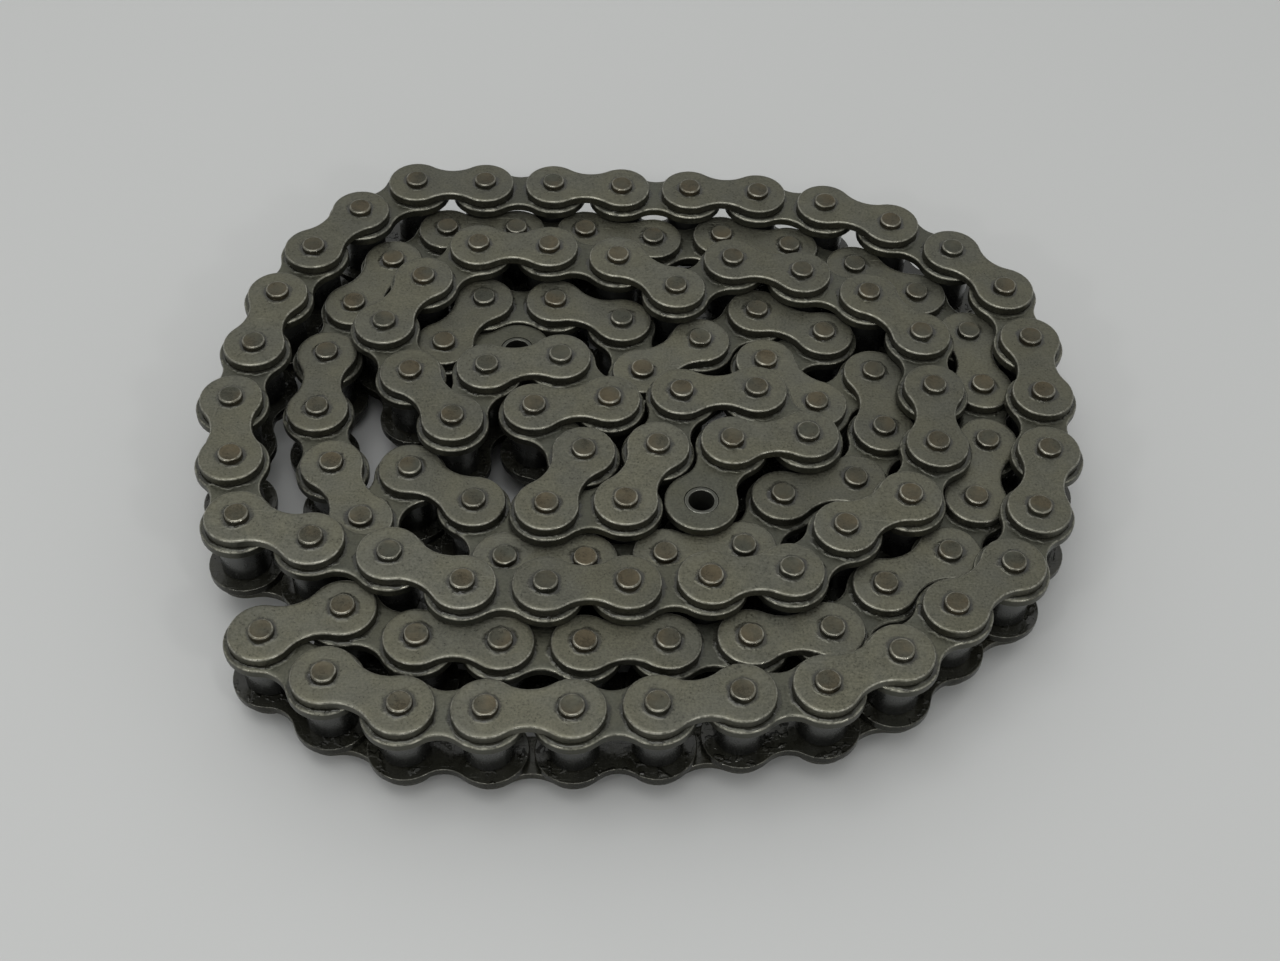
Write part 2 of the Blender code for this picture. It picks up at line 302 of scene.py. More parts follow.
def half_outline(height, waist, inset):
    """The right half of a plate, from waist to waist, as (x, y, outward x, outward y)."""
    radius = height / 2
    hollow = (HALF_PITCH ** 2 + (waist / 2) ** 2 - radius ** 2) / (2 * (radius - waist / 2))
    rise = waist / 2 + hollow
    hollow_end = math.atan2(rise, HALF_PITCH)
    lobe_end = math.pi - hollow_end
    points = []
    for step in range(HOLLOW_STEPS):
        angle = math.pi / 2 + (hollow_end - math.pi / 2) * step / HOLLOW_STEPS
        across, along = math.cos(angle), math.sin(angle)
        reach = hollow + inset
        points.append((reach * across, reach * along - rise, -across, -along))
    for step in range(LOBE_STEPS + 1):
        angle = lobe_end * (2 * step / LOBE_STEPS - 1)
        across, along = math.cos(angle), math.sin(angle)
        reach = radius - inset
        points.append((HALF_PITCH + reach * across, reach * along, across, along))
    for x, y, across, along in reversed(points[:HOLLOW_STEPS]):
        points.append((x, -y, across, -along))
    return points


def whole_outline(height, waist, inset):
    """The figure 8, drawn as its right half and the same half turned round."""
    right = half_outline(height, waist, inset)
    left = [(-x, -y, -across, -along) for x, y, across, along in right]
    return right[:-1] + left[:-1]


print("a plate's outline has", len(whole_outline(OUTER_PLATE_HEIGHT, OUTER_WAIST, 0.0)), "points")

# %% A plate's flat side
WAIST_STEPS = 5


def add_plate_flat(mesh, rim, hole_radius, level, facing, slot):
    """Fills a plate's flat side between its rim and its two holes. Returns the two hole rings."""
    half = len(rim) // 2
    rim = rim + rim[:1]
    top = Vector(mesh.points[rim[half]])
    bottom = Vector(mesh.points[rim[0]])
    seam_points = [tuple(top.lerp(bottom, step / WAIST_STEPS)) for step in range(1, WAIST_STEPS)]
    seam = mesh.ring(seam_points, 0.0)
    holes = []
    for side, loop in ((1, rim[:half + 1] + seam), (-1, rim[half:] + seam[::-1])):
        centre = side * HALF_PITCH
        hole_points = []
        for corner in loop:
            x, y, _ = mesh.points[corner]
            angle = math.atan2(y, x - centre)
            across, along = hole_radius * math.cos(angle), hole_radius * math.sin(angle)
            hole_points.append((centre + across, along, level))
        hole = mesh.ring(hole_points, 0.0)
        normals = [facing] * len(hole)
        mesh.bridge(loop, hole, normals, normals, slot)
        holes.append((centre, hole))
    return holes


print("the waist's seam has", WAIST_STEPS, "steps")

# %% Plate edges and the whole plate
# Each step is how far in from the outline it lies, how far below the flat, both in millimetres, and how
# much the place has been rubbed, which also places the painted sheen on the edge. The first list is the
# rolled edge, from the flat to the side wall, and the second the sharper edge at the plate's back
ROLLED_EDGE = [(1.15, 0.0, 0.0), (0.85, 0.02, 0.0), (0.58, 0.045, 0.1), (0.4, 0.085, 0.5),
               (0.24, 0.16, 1.0), (0.11, 0.28, 1.0), (0.03, 0.42, 0.5), (0.0, 0.58, 0.0)]
BACK_EDGE = [(0.26, 0.0, 0.2), (0.11, 0.05, 1.0), (0.03, 0.13, 1.0), (0.0, 0.26, 0.1)]
HOLE_PLAY = 0.03 * MM


def edge_profile(steps, flat, up):
    """An edge as (inset, level, outward, rise, rubbed), from the flat's rim to the side wall."""
    slopes = [Vector((0.0, 1.0))]
    for (inset, drop, _), (next_inset, next_drop, _) in zip(steps, steps[1:]):
        slopes.append(Vector((next_drop - drop, inset - next_inset)).normalized())
    slopes.append(Vector((1.0, 0.0)))
    profile = []
    for (inset, drop, rubbed), before, after in zip(steps, slopes, slopes[1:]):
        facing = (before + after).normalized()
        profile.append((inset * MM, flat - up * drop * MM, facing.x, up * facing.y, rubbed))
    profile[0] = profile[0][:2] + (0.0, up) + profile[0][4:]
    profile[-1] = profile[-1][:2] + (1.0, 0.0) + profile[-1][4:]
    return profile


def add_plate(mesh, height, waist, inner_side, outer_side, hole_radius, slot):
    """Adds a closed plate. Its rolled edge is on the outer side, which is above or below the inner."""
    up = 1.0 if outer_side > inner_side else -1.0
    profile = edge_profile(ROLLED_EDGE, outer_side, up) + edge_profile(BACK_EDGE, inner_side, -up)[::-1]
    rings = []
    facings = []
    for inset, level, outward, rise, edge in profile:
        outline = whole_outline(height, waist, inset)
        rings.append(mesh.ring([(x, y, level) for x, y, _, _ in outline], edge))
        facings.append([(outward * across, outward * along, rise) for _, _, across, along in outline])
    for i in range(len(rings) - 1):
        mesh.bridge(rings[i], rings[i + 1], facings[i], facings[i + 1], slot)
    outer_holes = add_plate_flat(mesh, rings[0], hole_radius, outer_side, (0.0, 0.0, up), slot)
    inner_holes = add_plate_flat(mesh, rings[-1], hole_radius, inner_side, (0.0, 0.0, -up), slot)
    for (centre, outer_hole), (_, inner_hole) in zip(outer_holes, inner_holes):
        walls = []
        for corner in outer_hole:
            x, y, _ = mesh.points[corner]
            walls.append(tuple(Vector((centre - x, -y, 0.0)).normalized()))
        mesh.bridge(outer_hole, inner_hole, walls, walls, slot)


trial_plate = LinkMesh()
add_plate(trial_plate, OUTER_PLATE_HEIGHT, OUTER_WAIST, OUTER_PLATE_BOTTOM, OUTER_PLATE_TOP,
          PIN_RADIUS + HOLE_PLAY, 0)
print("one plate has", len(trial_plate.faces), "faces and", trial_plate.open_edges(), "open edges")

# %% [markdown]
# ## Pins with riveted heads
#
# A pin is a plain bar whose two ends are spread over the outer plates by a riveting tool. The tool
# rounds the rim, leaves the end face a little dished, and often crushes one side flat. Most pin ends
# here get such a flat, at an angle from a seeded draw, in a few styles that are shared out along the
# strand. Cutting each flat with a Boolean would be slower and would lose the exact normals.

# %% Profile of a riveted pin
PIN_SIDES = 36
PIN_RIM = (0.62 * MM, 0.42 * MM)
PIN_RIM_STEPS = 5
PIN_DISH = 0.06 * MM
PIN_DISH_RADIUS = 0.35 * PIN_RADIUS
PIN_DISH_EDGE = PIN_RADIUS - 1.25 * PIN_RIM[0]
PIN_DISH_EDGE_DEPTH = 0.4 * PIN_DISH
# The dish's edge leans a little inward and is a little rubbed
PIN_DISH_EDGE_FACING = (-0.1, 0.995)
PIN_DISH_EDGE_RUBBED = 0.1
PIN_NECK = OUTER_PLATE_TOP - 0.1 * MM
STAKED_REACH = 0.9
STAKED_SHARE = 0.6


def pin_profile():
    """From the dished end face over the rim and down the neck, and the same again upside down."""
    dish = [(PIN_DISH_RADIUS, PIN_TOP - PIN_DISH, 0.0, 1.0, 0.0),
            (PIN_DISH_EDGE, PIN_TOP - PIN_DISH_EDGE_DEPTH, *PIN_DISH_EDGE_FACING, PIN_DISH_EDGE_RUBBED)]
    rim = rounded((PIN_RADIUS, PIN_TOP), PIN_RIM, (1, 1), PIN_RIM_STEPS)
    neck = [(PIN_RADIUS, PIN_NECK, 1.0, 0.0, 0.0)]
    top = dish + rim + neck
    return top + mirrored(top)


def staked_shape(top_angle, bottom_angle):
    """A pin's outline where the riveting tool has crushed one side of each end flat."""
    def shape(radius, height, angle):
        staked = top_angle if height > 0 else bottom_angle
        if staked is None or abs(height) < OUTER_PLATE_TOP or radius < PIN_RADIUS * STAKED_REACH / 2:
            return radius
        lean = math.cos(angle - staked)
        if lean <= 0:
            return radius
        return min(radius, STAKED_REACH * PIN_RADIUS / lean)
    return shape


print("a pin's profile has", len(pin_profile()), "points")

# %% Outer link: two plates and two riveted pins
OUTER_PLATE_SLOT = 0
PIN_SLOT = 1
LINK_STYLES = 8


def outer_link_mesh(draw):
    """An outer link in its own space, with its pin ends staked by the draw."""
    mesh = LinkMesh()
    for side in (1, -1):
        add_plate(mesh, OUTER_PLATE_HEIGHT, OUTER_WAIST, side * OUTER_PLATE_BOTTOM,
                  side * OUTER_PLATE_TOP, PIN_RADIUS + HOLE_PLAY, OUTER_PLATE_SLOT)
    for centre in (-HALF_PITCH, HALF_PITCH):
        angles = []
        for _ in range(2):
            angles.append(draw.uniform(0, 2 * math.pi) if draw.random() < STAKED_SHARE else None)
        add_turned(mesh, pin_profile(), centre, PIN_SIDES, PIN_SLOT, shape=staked_shape(*angles))
    return mesh


outer_styles = [outer_link_mesh(random.Random(style)) for style in range(LINK_STYLES)]
print("an outer link has", len(outer_styles[0].faces), "faces")
print("open edges in the", LINK_STYLES, "styles:", [style.open_edges() for style in outer_styles])

# %% [markdown]
# ## Inner link: plates, bushes and rollers
#
# A bush is pressed into both inner plates and the roller turns on it between them. The bush's end shows
# as a thin ring round the hole at the two free ends of the strand. A roller has rounded ends and a
# little room above, below and inside. A cylinder thickened by Solidify would have square rims, so both
# are closed profiles, swept once round.

# %% Inner link mesh
ROUND_SIDES = 40
OUTER_ROUND_STEPS = 3
BORE_ROUND_STEPS = 2
BUSH_TOP = INNER_PLATE_TOP + 0.05 * MM
BUSH_CHAMFER = 0.32 * MM
BUSH_PLAY = 0.1 * MM
ROLLER_TOP = INNER_PLATE_BOTTOM - 0.12 * MM
ROLLER_ROUND = 0.45 * MM
ROLLER_PLAY = 0.12 * MM
INNER_PLATE_SLOT = 0
BUSH_SLOT = 1
ROLLER_SLOT = 2


def tube_profile(outer, inner, top, outer_round, inner_round):
    """A tube's outer side from top to bottom, and then its bore from bottom to top."""
    outside = rounded((outer, top), (outer_round, outer_round), (1, 1), OUTER_ROUND_STEPS)
    inside = rounded((inner, top), (inner_round, inner_round), (-1, 1), BORE_ROUND_STEPS)
    return outside + mirrored(outside) + mirrored(inside)[::-1] + inside[::-1]


def inner_link_mesh():
    """An inner link in its own space."""
    mesh = LinkMesh()
    for side in (1, -1):
        add_plate(mesh, INNER_PLATE_HEIGHT, INNER_WAIST, side * INNER_PLATE_BOTTOM,
                  side * INNER_PLATE_TOP, BUSH_RADIUS + BUSH_PLAY, INNER_PLATE_SLOT)
    bush = tube_profile(BUSH_RADIUS, BORE_RADIUS, BUSH_TOP, BUSH_CHAMFER, BUSH_CHAMFER)
    roller_bore = BUSH_RADIUS + ROLLER_PLAY
    roller = tube_profile(ROLLER_RADIUS, roller_bore, ROLLER_TOP, ROLLER_ROUND, BUSH_CHAMFER)
    for centre in (-HALF_PITCH, HALF_PITCH):
        add_turned(mesh, bush, centre, ROUND_SIDES, BUSH_SLOT, is_tube=True)
        add_turned(mesh, roller, centre, ROUND_SIDES, ROLLER_SLOT, is_tube=True)
    return mesh


inner_style = inner_link_mesh()
print("an inner link has", len(inner_style.faces), "faces")
print("and", inner_style.open_edges(), "open edges")

# %% [markdown]
# ## Finishes: the shared effects
#
# All the steel has the same three effects at different strengths: a fine grain left by tumbling,
# bright metal where edges have rubbed, which is also painted sheen, and a dark film of oil that gathers
# round the pins and low down, which is also painted shade.
# Each is a node group with named inputs and outputs, built once. The oil reads a point's place in its
# own link, which the meshes carry as an attribute, so it sits at every joint the same way. The grain is
# read in the object's space, so it is never the same on two links.

# %% Helpers for node trees
def new_node(tree, kind, settings=None, **values):
    """Adds a node. Settings are its own options. The other names are its sockets, with _ for a space."""
    node = tree.nodes.new(kind)
    for option, value in (settings or {}).items():
        setattr(node, option, value)
    for socket, value in values.items():
        node.inputs[socket.replace("_", " ")].default_value = value
    return node


def maths(tree, operation, first, second=None, clamp=False):
    """A Math node on sockets or plain numbers. Returns its output."""
    node = tree.nodes.new("ShaderNodeMath")
    node.operation = operation
    node.use_clamp = clamp
    for socket, value in zip(node.inputs, (first, second)):
        if isinstance(value, (int, float)):
            socket.default_value = value
        elif value is not None:
            tree.links.new(value, socket)
    return node.outputs[0]


def ramp(tree, value, low, high, to_low=0.0, to_high=1.0):
    """A smooth step between two values. Returns its output."""
    node = tree.nodes.new("ShaderNodeMapRange")
    node.interpolation_type = "SMOOTHSTEP"
    for name, item in (("From Min", low), ("From Max", high), ("To Min", to_low), ("To Max", to_high)):
        if isinstance(item, (int, float)):
            node.inputs[name].default_value = item
        else:
            tree.links.new(item, node.inputs[name])
    tree.links.new(value, node.inputs["Value"])
    return node.outputs["Result"]


def mix_colour(tree, share, first, second, blend="MIX"):
    """Mixes two colours, each a socket or a plain colour, by a share. Returns the output."""
    node = tree.nodes.new("ShaderNodeMix")
    node.data_type = "RGBA"
    node.blend_type = blend
    # The node has a socket of each name for every data type, so these are taken by number
    for index, item in ((0, share), (6, first), (7, second)):
        if isinstance(item, bpy.types.NodeSocket):
            tree.links.new(item, node.inputs[index])
        else:
            node.inputs[index].default_value = item
    return node.outputs[2]


def noise(tree, place, scale, detail=2.0, roughness=0.5):
    """A Noise texture read at a place. Returns its grey output."""
    node = new_node(tree, "ShaderNodeTexNoise", Scale=scale, Detail=detail, Roughness=roughness)
    tree.links.new(place, node.inputs["Vector"])
    return node.outputs["Fac"]


def new_group(name, inputs, outputs):
    """An empty node group with named sockets, and its input and output nodes."""
    group = bpy.data.node_groups.new(name, "ShaderNodeTree")
    for title, kind, default in inputs:
        socket = group.interface.new_socket(title, in_out="INPUT", socket_type=kind)
        if default is not None:
            socket.default_value = default
    for title, kind in outputs:
        group.interface.new_socket(title, in_out="OUTPUT", socket_type=kind)
    return group, group.nodes.new("NodeGroupInput"), group.nodes.new("NodeGroupOutput")


print("node helpers ready")

# %% [markdown]
# ### Grain
#
# Grain could be one noise, but real tumbled plate has two scales: soft clouds some millimetres wide
# where the scale and oil have dried, and a speckle that is finer than a pixel of a wide view. Hairline
# scratches are a noise stretched about forty times in one direction and cut off near its peaks.

# %% The grain group
# Each noise is its scale, detail and roughness, and each step is where a noise starts and ends to count
CLOUD_NOISE = (190.0, 4.0, 0.6)
SPECKLE_NOISE = (1700.0, 3.0, 0.75)
TINT_NOISE = (85.0, 3.0, 0.55)
TINT_STEP = (0.3, 0.7)
SCRATCH_TURNS = (0.4, 2.0)
SCRATCH_STRETCH = (90.0, 3800.0, 400.0)
SCRATCH_NOISE = (1.0, 1.0, 0.5)
SCRATCH_STEP = (0.69, 0.78)
SCRATCH_BRIGHTNESS = 0.25
SPECKLE_RELIEF = 0.6


def add_scratches(group, position):
    """Hairlines in two directions, as a mask."""
    masks = []
    for turn in SCRATCH_TURNS:
        stretch = new_node(group, "ShaderNodeMapping", Rotation=(0.0, 0.0, turn), Scale=SCRATCH_STRETCH)
        group.links.new(position, stretch.inputs["Vector"])
        hairs = noise(group, stretch.outputs["Vector"], *SCRATCH_NOISE)
        masks.append(ramp(group, hairs, *SCRATCH_STEP))
    return maths(group, "MAXIMUM", *masks)


def build_grain():
    """The grain's group: a tone to multiply colours with, a height for bump and a slow tint."""
    group, given, out = new_group(
        "tumbled_grain",
        [("Position", "NodeSocketVector", None), ("Cloud", "NodeSocketFloat", 0.2),
         ("Speckle", "NodeSocketFloat", 0.2), ("Scratches", "NodeSocketFloat", 0.3)],
        [("Tone", "NodeSocketFloat"), ("Height", "NodeSocketFloat"), ("Tint", "NodeSocketFloat")])
    position = given.outputs["Position"]
    cloud = maths(group, "SUBTRACT", noise(group, position, *CLOUD_NOISE), 0.5)
    speckle = maths(group, "SUBTRACT", noise(group, position, *SPECKLE_NOISE), 0.5)
    scratch = maths(group, "MULTIPLY", add_scratches(group, position), given.outputs["Scratches"])
    tone = maths(group, "ADD", maths(group, "MULTIPLY", cloud, given.outputs["Cloud"]),
                 maths(group, "MULTIPLY", speckle, given.outputs["Speckle"]))
    tone = maths(group, "ADD", tone, maths(group, "MULTIPLY", scratch, SCRATCH_BRIGHTNESS))
    group.links.new(maths(group, "ADD", tone, 1.0), out.inputs["Tone"])
    height = maths(group, "SUBTRACT", maths(group, "MULTIPLY", speckle, SPECKLE_RELIEF), scratch)
    group.links.new(height, out.inputs["Height"])
    group.links.new(ramp(group, noise(group, position, *TINT_NOISE), *TINT_STEP), out.inputs["Tint"])
    return group


GRAIN = build_grain()
print("grain group has", len(GRAIN.nodes), "nodes")

# %% [markdown]
# ### Wear and painted sheen
#
# Edges that rub on each other lose their dark skin and shine. The same bright colour is also painted
# sheen, which makes the edge lines brighter than the lamps alone make them. Blender's Pointiness or a
# Bevel node could find the edges, but the meshes already say at each point how much it has been rubbed,
# which is exact and costs nothing. A noise breaks the mask up, because wear is never even.

# %% The wear group
WEAR_NOISE = (600.0, 3.0, 0.65)
WEAR_STEP = (0.3, 0.7)
WEAR_RANGE = (0.15, 1.0)
WORN_EDGE_STEP = (0.25, 0.95)


def build_wear_and_sheen():
    """The group of rubbed edges and their painted sheen: a mask of the bright places on the edges."""
    group, given, out = new_group(
        "rubbed_edge_and_sheen",
        [("Position", "NodeSocketVector", None), ("Edge", "NodeSocketFloat", 0.0),
         ("Amount", "NodeSocketFloat", 1.0)],
        [("Mask", "NodeSocketFloat")])
    broken = noise(group, given.outputs["Position"], *WEAR_NOISE)
    broken = ramp(group, broken, *WEAR_STEP, *WEAR_RANGE)
    near_edge = ramp(group, given.outputs["Edge"], *WORN_EDGE_STEP)
    mask = maths(group, "MULTIPLY", near_edge, broken)
    mask = maths(group, "MULTIPLY", mask, given.outputs["Amount"], clamp=True)
    group.links.new(mask, out.inputs["Mask"])
    return group


WEAR_AND_SHEEN = build_wear_and_sheen()
print("wear group has", len(WEAR_AND_SHEEN.nodes), "nodes")

# %% [markdown]
# ### Oil and painted shade
#
# The chain is stored oiled. The oil is drawn in between the pieces, so it shows as a dark ring round
# each pin and at the rim of each outer plate, and it runs down and gathers on the lower plates. The same
# dark film also paints the shade that falls round the pin heads, under the outer plates' rims and on the
# low sides of the rollers and plates, so the parts are darker towards the bottom. It could be painted by
# hand, but a distance from the joint and a height give it to every link at once. A free end has no pin
# to draw the oil in, so its ring is left out.

# %% The oil group
RING_DRIFT_NOISE = (300.0, 2.0)
RING_DRIFT = 2.2 * MM
# Heights in a link between which the oil and its painted shade thin out upward
LOW_STEP = (-5.5 * MM, 3.0 * MM)
PATCH_NOISE = (200.0, 2.0)
PATCH_STEP = (0.3, 0.65)
PATCH_RANGE = (0.7, 1.0)
CLUSTER_NOISE = (150.0, 1.0)
CLUSTER_STEP = (0.5, 0.6)
BEAD_NOISE = (520.0, 1.5)
BEAD_STEP = (0.52, 0.62)
RING_BEADING = 0.4
FILM_HEIGHT = 0.4


def add_ring(group, given, parts):
    """The dark ring of oil and painted shade round a joint, as a mask. It is left out round an open bush
    at a free end.
    """
    along = maths(group, "SUBTRACT", maths(group, "ABSOLUTE", parts.outputs["X"]), HALF_PITCH)
    away = maths(group, "SQRT", maths(group, "ADD", maths(group, "MULTIPLY", along, along),
                                      maths(group, "MULTIPLY", parts.outputs["Y"], parts.outputs["Y"])))
    drift = maths(group, "SUBTRACT", noise(group, given.outputs["Position"], *RING_DRIFT_NOISE), 0.5)
    drift = maths(group, "MULTIPLY", drift, RING_DRIFT)
    ring = ramp(group, maths(group, "ADD", away, drift), given.outputs["Ring Start"],
                given.outputs["Ring End"], 1.0, 0.0)
    towards_end = maths(group, "MULTIPLY", given.outputs["Free End"], parts.outputs["X"])
    at_free_end = maths(group, "GREATER_THAN", towards_end, 0.0)
    return maths(group, "MULTIPLY", ring, maths(group, "SUBTRACT", 1.0, at_free_end))


def build_oil_and_shade():
    """The group of oil and painted shade: a mask of where they lie, and the oil's height for bump."""
    group, given, out = new_group(
        "oil_film_and_shade",
        [("Position", "NodeSocketVector", None), ("Place", "NodeSocketVector", None),
         ("Free End", "NodeSocketFloat", 0.0), ("Ring Start", "NodeSocketFloat", 0.003),
         ("Ring End", "NodeSocketFloat", 0.004), ("Low Side", "NodeSocketFloat", 0.5)],
        [("Mask", "NodeSocketFloat"), ("Height", "NodeSocketFloat")])
    position = given.outputs["Position"]
    parts = group.nodes.new("ShaderNodeSeparateXYZ")
    group.links.new(given.outputs["Place"], parts.inputs[0])
    ring = add_ring(group, given, parts)
    low = ramp(group, parts.outputs["Z"], *LOW_STEP, 1.0, 0.0)
    low = maths(group, "MULTIPLY", low, given.outputs["Low Side"])
    patches = ramp(group, noise(group, position, *PATCH_NOISE), *PATCH_STEP, *PATCH_RANGE)
    mask = maths(group, "MULTIPLY", maths(group, "MAXIMUM", ring, low), patches, clamp=True)
    group.links.new(mask, out.inputs["Mask"])
    # The film stands highest in the ring, and here and there it gathers in clusters of beads
    clusters = ramp(group, noise(group, position, *CLUSTER_NOISE), *CLUSTER_STEP)
    beads = ramp(group, noise(group, position, *BEAD_NOISE), *BEAD_STEP)
    beads = maths(group, "MULTIPLY", beads, clusters)
    beading = maths(group, "ADD", maths(group, "MULTIPLY", ring, RING_BEADING), low)
    beads = maths(group, "MULTIPLY", beads, beading)
    height = maths(group, "ADD", maths(group, "MULTIPLY", mask, FILM_HEIGHT), beads)
    group.links.new(height, out.inputs["Height"])
    return group


OIL_AND_SHADE = build_oil_and_shade()
print("oil group has", len(OIL_AND_SHADE.nodes), "nodes")

# %% [markdown]
# ## One recipe for every steel
#
# The five pieces of a link are five steels: satin outer plates, cooler inner plates, browner pin ends,
# the bush's turned end, and rollers polished by turning. They differ only in colour, gloss and how much
# grain, wear and oil they carry, so one function builds them all from those few values.
#
# Where a face looks up, the oil stands on it as a pool. A clear coat over the steel could show it, but
# the coat keeps the smooth surface's normal and so never glints where the oil is beaded. So the pool
# also turns the steel below it into a glossy, dark surface that isn't metal, and this one is bumped.

# %% Placing the effects in a material
LYING_STEP = (0.3, 0.9)
# Painted shade: a plate's side walls and underside are darkened to this share below the first depth
# under the flat, and not at all above the second
PAINTED_WALL_SHADE = 0.65
PAINTED_SHADE_START = 0.6 * MM
PAINTED_SHADE_END = 0.35 * MM


def attribute(tree, title):
    """One of the values that the meshes carry at every point."""
    return new_node(tree, "ShaderNodeAttribute", {"attribute_name": title})


def place_effects(tree, grain, wear, oil):
    """Places the three groups in a material and feeds their inputs. Returns their nodes."""
    grains = new_node(tree, "ShaderNodeGroup", {"node_tree": GRAIN},
                      Cloud=grain[0], Speckle=grain[1], Scratches=grain[2])
    rubbed = new_node(tree, "ShaderNodeGroup", {"node_tree": WEAR_AND_SHEEN}, Amount=wear)
    film_and_shade = new_node(tree, "ShaderNodeGroup", {"node_tree": OIL_AND_SHADE},
                    Ring_Start=oil[0], Ring_End=oil[1], Low_Side=oil[2])
    position = new_node(tree, "ShaderNodeTexCoord").outputs["Object"]
    for node in (grains, rubbed, film_and_shade):
        tree.links.new(position, node.inputs["Position"])
    tree.links.new(attribute(tree, "edge").outputs["Fac"], rubbed.inputs["Edge"])
    tree.links.new(attribute(tree, "place").outputs["Vector"], film_and_shade.inputs["Place"])
    tree.links.new(attribute(tree, "free_end").outputs["Fac"], film_and_shade.inputs["Free End"])
    return grains, rubbed, film_and_shade


def paint_wall_shade(tree, shade, flat_level):
    """Paints shade on a plate's side walls and underside, which lie nearer the middle plane than its
    flat.
    """
    parts = tree.nodes.new("ShaderNodeSeparateXYZ")
    tree.links.new(attribute(tree, "place").outputs["Vector"], parts.inputs[0])
    height = maths(tree, "ABSOLUTE", parts.outputs["Z"])
    wall = ramp(tree, height, flat_level - PAINTED_SHADE_START, flat_level - PAINTED_SHADE_END, PAINTED_WALL_SHADE, 1.0)
    return maths(tree, "MULTIPLY", shade, wall)


def lying_faces(tree):
    """A mask of the faces that look up, where oil stays instead of running off."""
    facing = tree.nodes.new("ShaderNodeSeparateXYZ")
    tree.links.new(tree.nodes.new("ShaderNodeNewGeometry").outputs["Normal"], facing.inputs[0])
    return ramp(tree, facing.outputs["Z"], *LYING_STEP)


print("faces that lean under", round(math.degrees(math.acos(LYING_STEP[0]))), "degrees hold oil")

# %% Colour, gloss and relief of a steel
METALLIC = 0.8
# The oil's dark colour, which also paints the shade round the joints, under the plates' rims and low
# down
OIL_AND_SHADE_COLOUR = (0.010, 0.0095, 0.007, 1.0)
OIL_DEPTH = 0.55 * MM
GRAIN_STRENGTH = 0.7
GRAIN_DEPTH = 0.03 * MM
# How much rubbing, the oil film and an oil pool each take off the roughness
WORN_GLOSS = 0.1
OIL_GLOSS = 0.12
POOL_GLOSS = 0.2
SMOOTHEST = 0.09
POOL_COAT = 0.3
COAT_ROUGHNESS = 0.06


def set_colour(tree, shader, colours, tint_share, rubbed_and_sheen_share, shade, oil_and_shade_share):
    """Two tints of steel, the rubbed edges with their painted sheen, the grain's tone and the painted
    wall shade over both, and the oil with its painted shade on top.
    """
    colour, tint, rubbed_and_sheen_colour = colours
    grey = new_node(tree, "ShaderNodeCombineColor")
    for socket in grey.inputs:
        tree.links.new(shade, socket)
    steel = mix_colour(tree, tint_share, colour, tint)
    # Rubbed metal, which is also a painted sheen on the edges
    steel = mix_colour(tree, rubbed_and_sheen_share, steel, rubbed_and_sheen_colour)
    steel = mix_colour(tree, 1.0, steel, grey.outputs["Color"], blend="MULTIPLY")
    # The oil on top, which is also painted shade
    steel = mix_colour(tree, oil_and_shade_share, steel, OIL_AND_SHADE_COLOUR)
    tree.links.new(steel, shader.inputs["Base Color"])


def set_gloss(tree, shader, rough, rubbed_and_sheen_share, oil_and_shade_share, pooled):
    """The roughness, and the change from metal to oil where the oil stands as a pool."""
    for share, gloss in ((rubbed_and_sheen_share, WORN_GLOSS), (oil_and_shade_share, OIL_GLOSS), (pooled, POOL_GLOSS)):
        rough = maths(tree, "SUBTRACT", rough, maths(tree, "MULTIPLY", share, gloss))
    tree.links.new(maths(tree, "MAXIMUM", rough, SMOOTHEST), shader.inputs["Roughness"])
    bare = maths(tree, "SUBTRACT", 1.0, pooled)
    tree.links.new(maths(tree, "MULTIPLY", bare, METALLIC), shader.inputs["Metallic"])
    tree.links.new(maths(tree, "MULTIPLY", pooled, POOL_COAT), shader.inputs["Coat Weight"])
    shader.inputs["Coat Roughness"].default_value = COAT_ROUGHNESS


def set_relief(tree, shader, grain_height, oil_height, oil_amount):
    """The grain's fine relief, with the oil's beads over it."""
    relief = new_node(tree, "ShaderNodeBump", Strength=GRAIN_STRENGTH, Distance=GRAIN_DEPTH)
    tree.links.new(grain_height, relief.inputs["Height"])
    beads = new_node(tree, "ShaderNodeBump", Strength=oil_amount, Distance=OIL_DEPTH)
    tree.links.new(oil_height, beads.inputs["Height"])
    tree.links.new(relief.outputs["Normal"], beads.inputs["Normal"])
    tree.links.new(beads.outputs["Normal"], shader.inputs["Normal"])


print("oil takes", OIL_GLOSS + POOL_GLOSS, "off the roughness where it pools")

# %% The steel recipe
UNOILED_EDGE = 0.8


